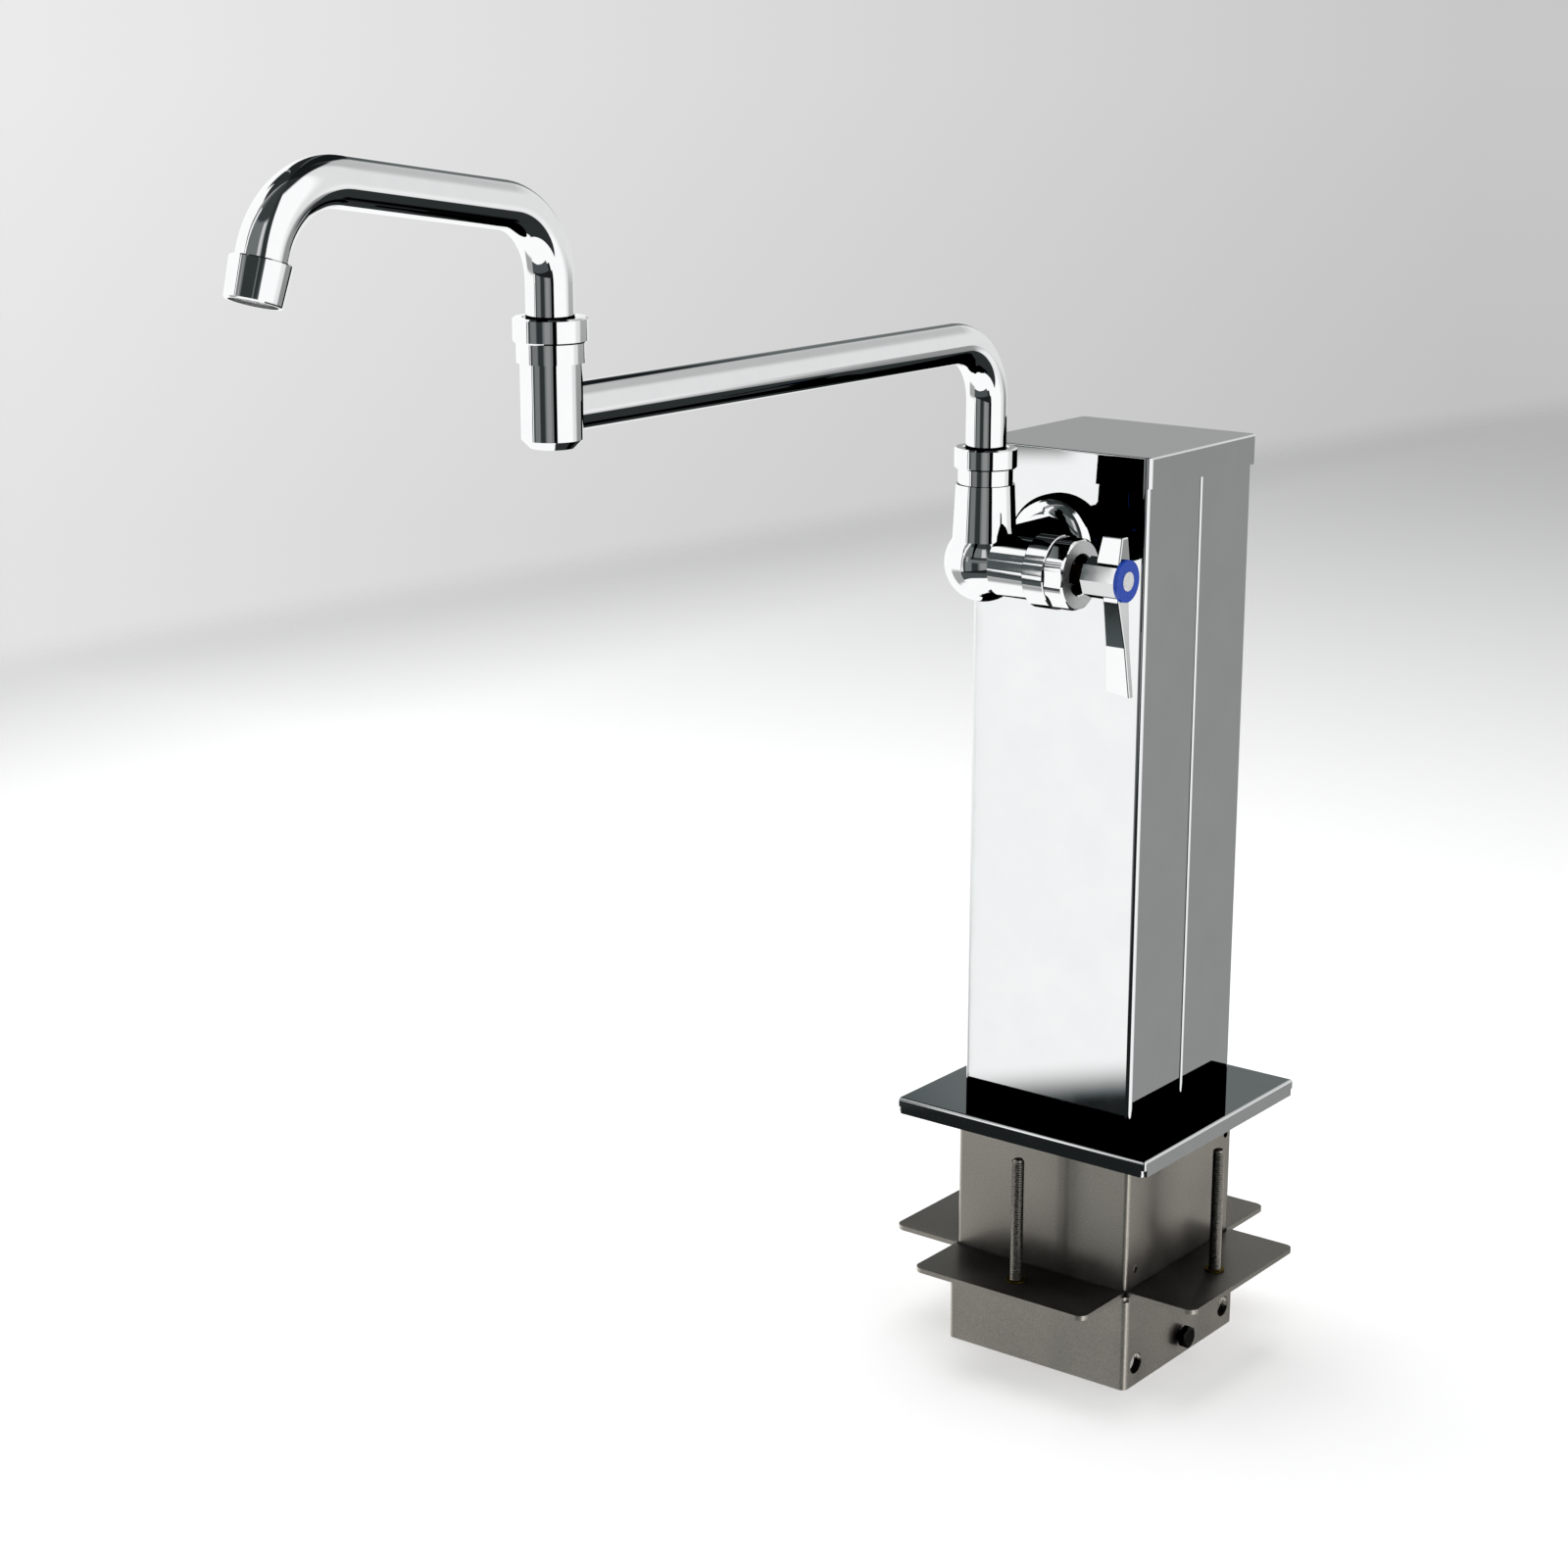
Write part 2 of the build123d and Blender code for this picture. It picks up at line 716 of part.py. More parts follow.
with BuildPart() as supply_elbow:
    with Locations((0, riser_y, valve_height)):
        Sphere(supply_elbow_radius)
    with BuildSketch(Plane.XZ.offset(-elbow_mouth)):
        with Locations((0, valve_height)):
            Circle(supply_elbow_radius)
    extrude(amount=-(riser_y - elbow_mouth))
    with BuildSketch(Plane((0, riser_y, valve_height))):
        Circle(supply_elbow_radius)
    extrude(amount=-supply_elbow_reach)
    with BuildSketch(Plane.XZ.offset(-elbow_mouth + overrun)):
        with Locations((0, valve_height)):
            Circle(shank_thread_radius + thread_gap)
    extrude(amount=-(supply_elbow_overlap + overrun), mode=Mode.SUBTRACT)
    with BuildSketch(Plane.XZ.offset(-elbow_mouth)):
        with Locations((0, valve_height)):
            Circle(inlet_bore_radius)
    extrude(amount=-(riser_y - elbow_mouth), mode=Mode.SUBTRACT)
    with BuildSketch(Plane((0, riser_y, valve_height))):
        Circle(inlet_bore_radius)
    extrude(amount=-supply_elbow_reach, mode=Mode.SUBTRACT)
    with BuildSketch(Plane((0, riser_y, elbow_foot - overrun))):
        Circle(riser_radius + thread_gap)
    extrude(amount=supply_socket_depth + overrun, mode=Mode.SUBTRACT)

save(supply_elbow.part, "supply_elbow")

# Riser

riser_top = elbow_foot + supply_socket_depth
riser_length = riser_top + riser_bottom_drop

with BuildPart() as riser:
    with BuildSketch(Plane((0, riser_y, riser_top))):
        Circle(riser_radius)
        Circle(riser_radius - riser_wall, mode=Mode.SUBTRACT)
    extrude(amount=-riser_length)

save(riser.part, "riser")

# Inlet adapter on the riser's foot

adapter_top = -riser_bottom_drop + adapter_socket_height

with BuildPart() as inlet_adapter:
    with BuildSketch(Plane((0, riser_y, adapter_top))):
        RegularPolygon(adapter_hex_width / 2, 6, major_radius=False)
    extrude(amount=-(adapter_socket_height + adapter_hex_height))
    adapter_foot = adapter_top - adapter_socket_height - adapter_hex_height
    with BuildSketch(Plane((0, riser_y, adapter_foot))):
        Circle(shank_thread_radius)
    extrude(amount=-adapter_thread_length)
    with BuildSketch(Plane((0, riser_y, adapter_top + overrun))):
        Circle(riser_radius + thread_gap)
    extrude(amount=-(adapter_socket_height + overrun), mode=Mode.SUBTRACT)
    with BuildSketch(Plane((0, riser_y, -riser_bottom_drop))):
        Circle(riser_radius - riser_wall)
    extrude(amount=-(adapter_hex_height + adapter_thread_length + overrun), mode=Mode.SUBTRACT)

save(inlet_adapter.part, "inlet_adapter")

# Bonnet

bonnet_bore = stem_radius + turning_gap
hex_corner = bonnet_hex_width / sqrt(3)
bevel_depth = (hex_corner - bonnet_hex_width / 2) * tan(radians(bonnet_bevel_angle))

with BuildPart() as bonnet:
    with BuildSketch(barrel_plane(bonnet_collar_end)):
        RegularPolygon(bonnet_hex_width / 2, 6, major_radius=False)
    extrude(amount=bonnet_hex_length)
    bevel_outline = (
        (bonnet_collar_end, 0),
        (bonnet_collar_end, hex_corner),
        (bonnet_end - bevel_depth, hex_corner),
        (bonnet_end, bonnet_hex_width / 2),
        (bonnet_end, 0),
    )
    with BuildSketch(front_plane):
        with BuildLine():
            Polyline(*bevel_outline, close=True)
        make_face()
    revolve(axis=barrel_axis, mode=Mode.INTERSECT)
    with BuildSketch(barrel_plane(barrel_length)):
        Circle(bonnet_collar_radius)
    extrude(amount=bonnet_collar_length)
    with BuildSketch(barrel_plane(bonnet_foot)):
        Circle(chamber_radius - thread_gap)
    extrude(amount=bonnet_spigot_length)
    with BuildSketch(barrel_plane(bonnet_end + overrun)):
        Circle(bonnet_recess_radius)
    extrude(amount=-(bonnet_recess_depth + overrun), mode=Mode.SUBTRACT)
    with BuildSketch(barrel_plane(bonnet_foot - overrun)):
        Circle(bonnet_bore)
    extrude(amount=bonnet_end - bonnet_foot + 2 * overrun, mode=Mode.SUBTRACT)
    packing_place = barrel_length + bonnet_collar_length / 2
    with BuildSketch(barrel_plane(packing_place - stem_packing_section / 2)):
        Circle(bonnet_bore + stem_packing_section)
    extrude(amount=stem_packing_section, mode=Mode.SUBTRACT)

save(bonnet.part, "bonnet")

with BuildPart() as stem_packing:
    with BuildSketch(barrel_plane(packing_place - stem_packing_section / 2 + packing_gap)):
        Circle(bonnet_bore + stem_packing_section - packing_gap)
        Circle(stem_radius + packing_gap, mode=Mode.SUBTRACT)
    extrude(amount=stem_packing_section - 2 * packing_gap)

save(stem_packing.part, "stem_packing")

# Cartridge: housing, seat ring and the two ceramic discs

cartridge_radius = chamber_radius - seat_ring_gap
disc_radius = cartridge_radius - cartridge_wall - turning_gap
turning_disc_start = cartridge_start + disc_thickness + disc_gap
stem_foot_start = turning_disc_start + disc_thickness

with BuildPart() as seat_ring:
    with BuildSketch(barrel_plane(chamber_start)):
        Circle(cartridge_radius)
        Circle(seat_bore_radius, mode=Mode.SUBTRACT)
    extrude(amount=seat_ring_length)

with BuildPart() as cartridge_housing:
    with BuildSketch(barrel_plane(cartridge_start)):
        Circle(cartridge_radius)
        Circle(disc_radius + turning_gap, mode=Mode.SUBTRACT)
    extrude(amount=cartridge_length)
    with BuildSketch(Plane((turning_disc_start, outlet_y, valve_height))):
        Rectangle(cartridge_window_width, cartridge_window_width, align=(Align.MIN, Align.CENTER))
    extrude(amount=chamber_radius, both=True, mode=Mode.SUBTRACT)


def ceramic_disc(start):
    """Ceramic disc with two ports, across the barrel's axis."""
    with BuildPart() as disc:
        with BuildSketch(barrel_plane(start)):
            Circle(disc_radius)
            with PolarLocations(disc_port_reach, 2):
                Circle(disc_port_radius, mode=Mode.SUBTRACT)
        extrude(amount=disc_thickness)
    return disc.part


save(seat_ring.part, "seat_ring")
save(cartridge_housing.part, "cartridge_housing")
save(ceramic_disc(cartridge_start), "fixed_disc")
save(ceramic_disc(turning_disc_start), "turning_disc")

# Stem

stem_end = handle_start + hub_socket_depth

with BuildPart() as stem:
    with BuildSketch(barrel_plane(stem_foot_start)):
        Circle(stem_foot_radius)
    extrude(amount=stem_foot_length)
    with BuildSketch(barrel_plane(stem_foot_start)):
        Circle(stem_radius)
    extrude(amount=handle_start - stem_foot_start)
    with BuildSketch(barrel_plane(handle_start)):
        Circle(stem_end_radius)
    extrude(amount=hub_socket_depth)
    with BuildSketch(barrel_plane(stem_end + overrun)):
        Circle(screw_thread_radius + thread_gap)
    extrude(amount=-(screw_length + overrun), mode=Mode.SUBTRACT)

save(stem.part, "stem")

# Handle


stub_start = handle_end - stub_foot_width
stub_front = (
    (stub_start, 0),
    (stub_start, hub_width / 2),
    (handle_end - stub_top_width, stub_height),
    (handle_end, stub_height),
    (handle_end, 0),
)
stub_side = (
    (-stub_foot_depth / 2, 0),
    (-stub_foot_depth / 2, hub_width / 2),
    (-stub_top_depth / 2, stub_height),
    (stub_top_depth / 2, stub_height),
    (stub_foot_depth / 2, hub_width / 2),
    (stub_foot_depth / 2, 0),
)

with BuildPart() as stub:
    with BuildSketch(front_plane):
        with BuildLine():
            Polyline(*stub_front, close=True)
        make_face()
    extrude(amount=hub_width, both=True)
    with BuildSketch(side_plane):
        with BuildLine():
            Polyline(*stub_side, close=True)
        make_face()
    extrude(amount=2 * handle_end, mode=Mode.INTERSECT)
    stub_root = stub.edges().filter_by_position(Axis.Z, valve_height, valve_height)
    fillet(stub.edges() - stub_root, handle_edge)

lever_start = handle_end - lever_root_width
lever_length = lever_drop + lever_tip_drop
tip_start = lever_start + lever_lean
tip_end = tip_start + lever_tip_width
kink_share = (lever_kink_drop - index_radius) / (lever_length - index_radius)
kink_start = lever_start + kink_share * lever_lean
kink_end = handle_end + kink_share * (tip_end - handle_end)
lever_levels = (
    (0, lever_start, handle_end, lever_root_depth),
    (index_radius, lever_start, handle_end, lever_root_depth),
    (lever_kink_drop, kink_start, kink_end, lever_kink_depth),
    (lever_length, tip_start, tip_end, lever_tip_depth),
)
tip_cut = (
    (tip_start - overrun, -lever_drop + overrun * lever_tip_drop / lever_tip_width),
    (tip_end + overrun, -lever_length - overrun * lever_tip_drop / lever_tip_width),
    (tip_end + overrun, -lever_length - 2 * overrun),
    (tip_start - overrun, -lever_length - 2 * overrun),
)

with BuildPart() as lever:
    for drop, inner_x, outer_x, depth in lever_levels:
        middle = ((inner_x + outer_x) / 2, outlet_y, valve_height - drop)
        with BuildSketch(Plane(middle)):
            RectangleRounded(outer_x - inner_x, depth, handle_edge)
    loft(ruled=True)
    with BuildSketch(front_plane):
        with BuildLine():
            Polyline(*tip_cut, close=True)
        make_face()
    extrude(amount=hub_width, both=True, mode=Mode.SUBTRACT)

with BuildPart() as handle:
    with BuildSketch(barrel_plane(handle_start)):
        RegularPolygon(hub_width / 2, hub_sides, major_radius=False)
    extrude(amount=handle_end - handle_start)
    chamfer(handle.faces().sort_by(Axis.X)[0].edges(), hub_bevel)
    add(stub.part)
    add(lever.part)
    with BuildSketch(barrel_plane(handle_start - overrun)):
        Circle(stem_end_radius + hub_socket_gap)
    extrude(amount=hub_socket_depth + overrun, mode=Mode.SUBTRACT)
    with BuildSketch(barrel_plane(stem_end - overrun)):
        Circle(screw_thread_radius + thread_gap)
    extrude(amount=handle_end - stem_end + 2 * overrun, mode=Mode.SUBTRACT)
    with BuildSketch(barrel_plane(handle_end + overrun)):
        Circle(screw_head_radius + thread_gap)
    extrude(amount=-(screw_head_height + index_height + overrun), mode=Mode.SUBTRACT)

save(handle.part, "handle")

# Handle screw

screw_seat = handle_end - screw_head_height - index_height

with BuildPart() as handle_screw:
    with BuildSketch(barrel_plane(screw_seat)):
        Circle(screw_head_radius)
    extrude(amount=screw_head_height)
    with BuildSketch(barrel_plane(screw_seat)):
        Circle(screw_thread_radius)
    extrude(amount=-screw_length)
    with BuildSketch(barrel_plane(screw_seat + screw_head_height)):
        RegularPolygon(screw_drive_width / 2, 6, major_radius=False)
    extrude(amount=-screw_head_height / 2, mode=Mode.SUBTRACT)

save(handle_screw.part, "handle_screw")

# Index cap: a coloured ring with a plain button in its middle

with BuildPart() as index_ring:
    with BuildSketch(barrel_plane(handle_end)):
        Circle(index_radius)
        Circle(index_bore_radius, mode=Mode.SUBTRACT)
    extrude(amount=index_height)

with BuildPart() as index_button:
    with BuildSketch(barrel_plane(handle_end)):
        Circle(index_bore_radius)
    extrude(amount=index_height + index_button_crown)

save(index_ring.part, "index_ring")
save(index_button.part, "index_button")

# Lower arm


def swept_tube(route, radii):
    """Bent tube along a route of points in the plane X = 0, with a radius at each corner."""
    with BuildPart() as tube:
        with BuildLine(Plane.YZ) as path:
            FilletPolyline(*route, radius=radii)
        start_y, start_z = route[0]
        with BuildSketch(Plane((0, start_y, start_z))):
            Circle(tube_radius)
            Circle(tube_bore_radius, mode=Mode.SUBTRACT)
        sweep(path=path.wire())
    return tube.part


lower_route = (
    (outlet_y, leg_top - socket_depth + socket_gap),
    (outlet_y, arm_height),
    (pivot_y, arm_height),
)

with BuildPart() as lower_arm_tube:
    add(swept_tube(lower_route, [lower_bend_radius]))
    with BuildSketch(Plane((0, pivot_y, pivot_foot))):
        Circle(pivot_radius)
    extrude(amount=pivot_top - pivot_foot, mode=Mode.SUBTRACT)

save(lower_arm_tube.part, "lower_arm_tube")

# Pivot body

pivot_axis = Axis((0, pivot_y, 0), (0, 0, 1))
pivot_profile = (
    (0, pivot_foot),
    (pivot_radius - pivot_foot_bevel, pivot_foot),
    (pivot_radius, pivot_foot + pivot_foot_bevel),
    (pivot_radius, pivot_shoulder),
    (pivot_collar_radius, pivot_shoulder),
    (pivot_collar_radius, pivot_top),
    (spigot_radius, pivot_top),
    (spigot_radius, pivot_top + spigot_height),
    (0, pivot_top + spigot_height),
)

with BuildPart() as pivot_body:
    turned(Plane((0, pivot_y, 0), x_dir=(1, 0, 0), z_dir=(0, -1, 0)), pivot_profile, pivot_axis)
    cut_swivel_socket(pivot_y, pivot_top)
    with BuildSketch(Plane((0, pivot_y, pivot_foot + pivot_floor))):
        Circle(water_bore_radius)
    extrude(amount=pivot_top - pivot_foot - pivot_floor, mode=Mode.SUBTRACT)
    with BuildSketch(Plane((0, pivot_y, arm_height), x_dir=(1, 0, 0), z_dir=(0, 1, 0))):
        Circle(water_bore_radius)
    extrude(amount=pivot_radius + overrun, mode=Mode.SUBTRACT)

save(pivot_body.part, "pivot_body")

# Upper arm

slope = radians(upper_slope_angle)
lean = radians(outlet_lean_angle)
upper_corner = arm_height + upper_corner_rise
outlet_corner_y = pivot_y - upper_reach
outlet_corner_z = upper_corner + upper_reach * tan(slope)
outlet_way = Vector(0, -sin(lean), -cos(lean))
outlet_corner = Vector(0, outlet_corner_y, outlet_corner_z)
outlet_tip = outlet_corner + outlet_way * outlet_length
tube_tip = outlet_tip - outlet_way * (insert_disc_height + housing_lip + spout_washer_height)
upper_route = (
    (pivot_y, pivot_top - socket_depth + socket_gap),
    (pivot_y, upper_corner),
    (outlet_corner_y, outlet_corner_z),
    (tube_tip.Y, tube_tip.Z),
)

save(swept_tube(upper_route, [upper_bend_radius, outlet_bend_radius]), "upper_arm_tube")

# Outlet: aerator housing, washer and insert


def outlet_plane(distance):
    """Plane across the outlet's axis, this far back from its tip, facing the flow."""
    return Plane(outlet_tip - outlet_way * distance, x_dir=(1, 0, 0), z_dir=outlet_way)


with BuildPart() as aerator_housing:
    with Locations(outlet_plane(housing_length)):
        foot = (Align.CENTER, Align.CENTER, Align.MIN)
        Cone(housing_radius, housing_tip_radius, housing_length, align=foot)
    chamfer(aerator_housing.edges().filter_by(GeomType.CIRCLE), housing_edge)
    with BuildSketch(outlet_plane(housing_length + overrun)):
        Circle(tube_radius + thread_gap)
    extrude(amount=housing_length + overrun - housing_lip, mode=Mode.SUBTRACT)
    with BuildSketch(outlet_plane(housing_lip + overrun)):
        Circle(housing_mouth_radius)
    extrude(amount=housing_lip + 2 * overrun, mode=Mode.SUBTRACT)

with BuildPart() as spout_washer:
    with BuildSketch(outlet_plane(housing_lip + insert_disc_height + spout_washer_height)):
        Circle(tube_radius)
        Circle(tube_bore_radius, mode=Mode.SUBTRACT)
    extrude(amount=spout_washer_height)

with BuildPart() as aerator_insert:
    with BuildSketch(outlet_plane(housing_lip + insert_disc_height)):
        Circle(tube_radius + thread_gap - insert_disc_gap)
    extrude(amount=insert_disc_height)
    with BuildSketch(outlet_plane(housing_lip - overrun)):
        RegularPolygon(insert_hole_radius, 6)
        for ring in range(1, insert_hole_rings + 1):
            with PolarLocations(ring * insert_hole_spacing, 6 * ring):
                RegularPolygon(insert_hole_radius, 6)
    extrude(amount=-(insert_disc_height + 2 * overrun), mode=Mode.SUBTRACT)

save(aerator_housing.part, "aerator_housing")
save(spout_washer.part, "spout_washer")
save(aerator_insert.part, "aerator_insert")
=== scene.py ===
import json
from math import atan2, cos, pi, radians, sin

import bmesh
import bpy
from mathutils import Matrix, Vector


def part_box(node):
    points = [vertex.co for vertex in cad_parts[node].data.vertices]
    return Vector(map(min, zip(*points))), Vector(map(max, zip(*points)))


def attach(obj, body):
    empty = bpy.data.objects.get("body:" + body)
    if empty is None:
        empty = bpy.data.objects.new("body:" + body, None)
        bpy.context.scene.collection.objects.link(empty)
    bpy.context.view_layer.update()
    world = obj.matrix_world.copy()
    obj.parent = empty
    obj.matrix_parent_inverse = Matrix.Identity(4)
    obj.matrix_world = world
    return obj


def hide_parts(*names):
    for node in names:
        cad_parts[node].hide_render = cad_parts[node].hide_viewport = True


# The looks of a pot filler: chromed valve and spout on a polished steel column.
# Lengths are in metres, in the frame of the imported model, and mm turns millimetres into them.

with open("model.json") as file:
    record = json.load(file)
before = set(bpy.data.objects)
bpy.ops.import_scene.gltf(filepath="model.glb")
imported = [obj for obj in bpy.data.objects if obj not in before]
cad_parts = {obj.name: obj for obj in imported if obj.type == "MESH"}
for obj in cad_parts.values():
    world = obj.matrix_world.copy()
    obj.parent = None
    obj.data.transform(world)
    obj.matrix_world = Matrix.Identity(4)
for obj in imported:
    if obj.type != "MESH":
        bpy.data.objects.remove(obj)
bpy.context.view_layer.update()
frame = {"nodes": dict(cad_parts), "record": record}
nodes = frame["nodes"]
mm = 0.001

# Camera, as fitted to the photograph
camera_place = (0.8088, -1.3143, 0.5796)
camera_azimuth = 37.72
camera_elevation = 14.82
camera_lens = 71.26
sensor_width = 36.0

# The object stands on its clamp frame
floor_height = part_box("clamp_frame")[0].z
floor_half_side = 6.0


# Nodes and colours


def linear(code):
    """Linear RGBA of an sRGB hex colour."""
    parts = [int(code[i:i + 2], 16) / 255 for i in (1, 3, 5)]
    return (*[v / 12.92 if v <= 0.04045 else ((v + 0.055) / 1.055) ** 2.4 for v in parts], 1)


def add_node(tree, kind, inputs=None, **settings):
    """Add a node: inputs holds values or other nodes' output sockets, by socket name or number."""
    new = tree.nodes.new(kind)
    for name, value in settings.items():
        setattr(new, name, value)
    for key, value in (inputs or {}).items():
        if isinstance(value, bpy.types.NodeSocket):
            tree.links.new(value, new.inputs[key])
        else:
            new.inputs[key].default_value = value
    return new


def new_material(name):
    """A material with an empty node tree, its Principled shader and its output."""
    material = bpy.data.materials.new(name)
    material.use_nodes = True
    tree = material.node_tree
    tree.nodes.clear()
    shader = add_node(tree, "ShaderNodeBsdfPrincipled")
    add_node(tree, "ShaderNodeOutputMaterial", {"Surface": shader.outputs[0]})
    return material, tree, shader


def object_noise(tree, size, detail):
    """Noise on Object coordinates, with features of this size."""
    place = add_node(tree, "ShaderNodeTexCoord").outputs["Object"]
    scale = (1 / size, 1 / size, 1 / size)
    mapping = add_node(tree, "ShaderNodeMapping", {"Vector": place, "Scale": scale})
    return add_node(
        tree, "ShaderNodeTexNoise", {"Vector": mapping.outputs[0], "Scale": 1.0, "Detail": detail}
    ).outputs[0]


def spread(tree, value, low, high, start=0.3, end=0.7):
    """Map a pattern's value from start and end to low and high."""
    return add_node(
        tree, "ShaderNodeMapRange",
        {"Value": value, "From Min": start, "From Max": end, "To Min": low, "To Max": high},
    ).outputs[0]


def mixed_colour(tree, share, first, second):
    """Mix two colours by a pattern's value."""
    mix = add_node(tree, "ShaderNodeMix", data_type="RGBA")
    mix.inputs[6].default_value = linear(first)
    mix.inputs[7].default_value = linear(second)
    tree.links.new(share, mix.inputs[0])
    return mix.outputs[2]


def link_bump(tree, shader, height, depth, strength):
    """Bump of this depth from a pattern's value."""
    bump = add_node(
        tree, "ShaderNodeBump", {"Height": height, "Distance": depth, "Strength": strength}
    )
    tree.links.new(bump.outputs[0], shader.inputs["Normal"])


# Materials


def chrome_plate():
    """Bright chrome plate on buffed brass: a mirror with a trace of waviness and haze."""
    material, tree, shader = new_material("chrome_plate_buffed")
    shader.inputs["Metallic"].default_value = 1.0
    haze = object_noise(tree, 9 * mm, 3.0)
    tree.links.new(mixed_colour(tree, haze, "#F4F6F7", "#FBFCFC"), shader.inputs["Base Color"])
    tree.links.new(spread(tree, haze, 0.015, 0.05), shader.inputs["Roughness"])
    link_bump(tree, shader, object_noise(tree, 14 * mm, 1.0), 0.02 * mm, 0.5)
    return material


def chrome_over_turned():
    """Chrome plate on a face left as turned: pale, blurred and lightly speckled."""
    material, tree, shader = new_material("chrome_plate_over_turned")
    shader.inputs["Metallic"].default_value = 1.0
    speckle = object_noise(tree, 0.9 * mm, 2.0)
    tree.links.new(mixed_colour(tree, speckle, "#C9CBCC", "#FCFCFC"), shader.inputs["Base Color"])
    tree.links.new(spread(tree, speckle, 0.35, 0.5), shader.inputs["Roughness"])
    link_bump(tree, shader, speckle, 0.03 * mm, 0.6)
    return material


def mirror_sheet():
    """Mirror-polished stainless sheet: clear reflections, a little darker than chrome."""
    material, tree, shader = new_material("stainless_sheet_mirror_polished")
    shader.inputs["Metallic"].default_value = 1.0
    haze = object_noise(tree, 20 * mm, 3.0)
    tree.links.new(mixed_colour(tree, haze, "#E9ECEC", "#F3F5F5"), shader.inputs["Base Color"])
    tree.links.new(spread(tree, haze, 0.01, 0.03), shader.inputs["Roughness"])
    return material


def satin_sheet():
    """Stainless sheet as rolled: warm grey, with a fine even grain and no mirror image."""
    material, tree, shader = new_material("stainless_sheet_satin_rolled")
    shader.inputs["Metallic"].default_value = 1.0
    grain = object_noise(tree, 0.8 * mm, 2.0)
    cloud = object_noise(tree, 30 * mm, 3.0)
    tree.links.new(mixed_colour(tree, grain, "#B0AAA0", "#F0EADF"), shader.inputs["Base Color"])
    tree.links.new(spread(tree, cloud, 0.3, 0.38), shader.inputs["Roughness"])
    link_bump(tree, shader, grain, 0.03 * mm, 0.4)
    return material


def grained(name, metallic, dark, light, low, high, grain_size, grain_depth):
    """A plain finish: its two colours, its roughness range and its grain's size and depth."""
    material, tree, shader = new_material(name)
    shader.inputs["Metallic"].default_value = metallic
    grain = object_noise(tree, grain_size, 3.0)
    tree.links.new(mixed_colour(tree, grain, dark, light), shader.inputs["Base Color"])
    tree.links.new(spread(tree, grain, low, high), shader.inputs["Roughness"])
    link_bump(tree, shader, grain, grain_depth, 0.5)
    return material


metal, not_metal = 1.0, 0.0
finishes = {
    "chrome_finish": chrome_plate(),
    "polished_steel": mirror_sheet(),
    "satin_steel": satin_sheet(),
    # Turned stainless: neutral grey, with soft highlights
    "brushed_steel": grained(
        "stainless_turned", metal, "#B4B6B6", "#CBCCCC", 0.2, 0.3, 0.6 * mm, 0.02 * mm
    ),
    # Turned brass: warm yellow with a little brown, as on the stem
    "brass": grained(
        "brass_turned", metal, "#A8854B", "#C4A263", 0.22, 0.34, 0.8 * mm, 0.02 * mm
    ),
    # Drawn copper: dull reddish tube
    "copper_tube": grained(
        "copper_drawn", metal, "#A4684A", "#C58362", 0.25, 0.4, 2.0 * mm, 0.02 * mm
    ),
    # Yellow zinc plate: a gold rim round each rod where it passes its tab
    "zinc_yellow": grained(
        "steel_yellow_zinc_plated", metal, "#B08C28", "#EBD06A", 0.25, 0.4, 0.8 * mm, 0.02 * mm
    ),
    # Zinc-plated rod: mottled grey that breaks up along the thread
    "zinc_steel": grained(
        "steel_rod_zinc_plated", metal, "#6E6A62", "#D2CEC4", 0.25, 0.5, 1.2 * mm, 0.12 * mm
    ),
    # Black oxide: nearly black bolts with a faint sheen
    "black_steel": grained(
        "steel_black_oxide", metal, "#141312", "#242220", 0.3, 0.45, 0.5 * mm, 0.02 * mm
    ),
    # Moulded rubber: matt black
    "rubber_black": grained(
        "rubber_moulded_black", not_metal, "#161616", "#222222", 0.6, 0.75, 0.5 * mm, 0.02 * mm
    ),
    # Lapped ceramic: smooth warm white
    "ceramic_white": grained(
        "alumina_ceramic_lapped", not_metal, "#E6E2D6", "#F0ECE2", 0.15, 0.25, 0.5 * mm,
        0.005 * mm,
    ),
    # Moulded plastic: the even, slightly glossy blue of the index ring
    "plastic_blue": grained(
        "acetal_moulded_blue", not_metal, "#1746C0", "#2257CE", 0.25, 0.35, 0.7 * mm, 0.008 * mm
    ),
    # Moulded plastic: the clean white of the index button
    "plastic_white": grained(
        "acetal_moulded_white", not_metal, "#F2F3F4", "#FBFBFB", 0.25, 0.35, 0.7 * mm, 0.008 * mm
    ),
}

for entry in frame["record"]["subparts"]:
    part = nodes[entry["node"]]
    part.data.materials.clear()
    part.data.materials.append(finishes[entry["material_slot"]])


# New pieces


# In mm: the screws' thread, the circle that the rods stand on, and where the bolts and bonnet lie
screw_crest, screw_pitch = 3.175, 1.27
rod_circle = 74
lock_bolt_height = -116.5
bonnet_centre = (0, -114.2, 306.1)
riser_line = -14.0

# How far the turned corners of a hexagon or octagon reach, against the middles of its sides
corner_reach = {6: 1.135, 8: 1.045}


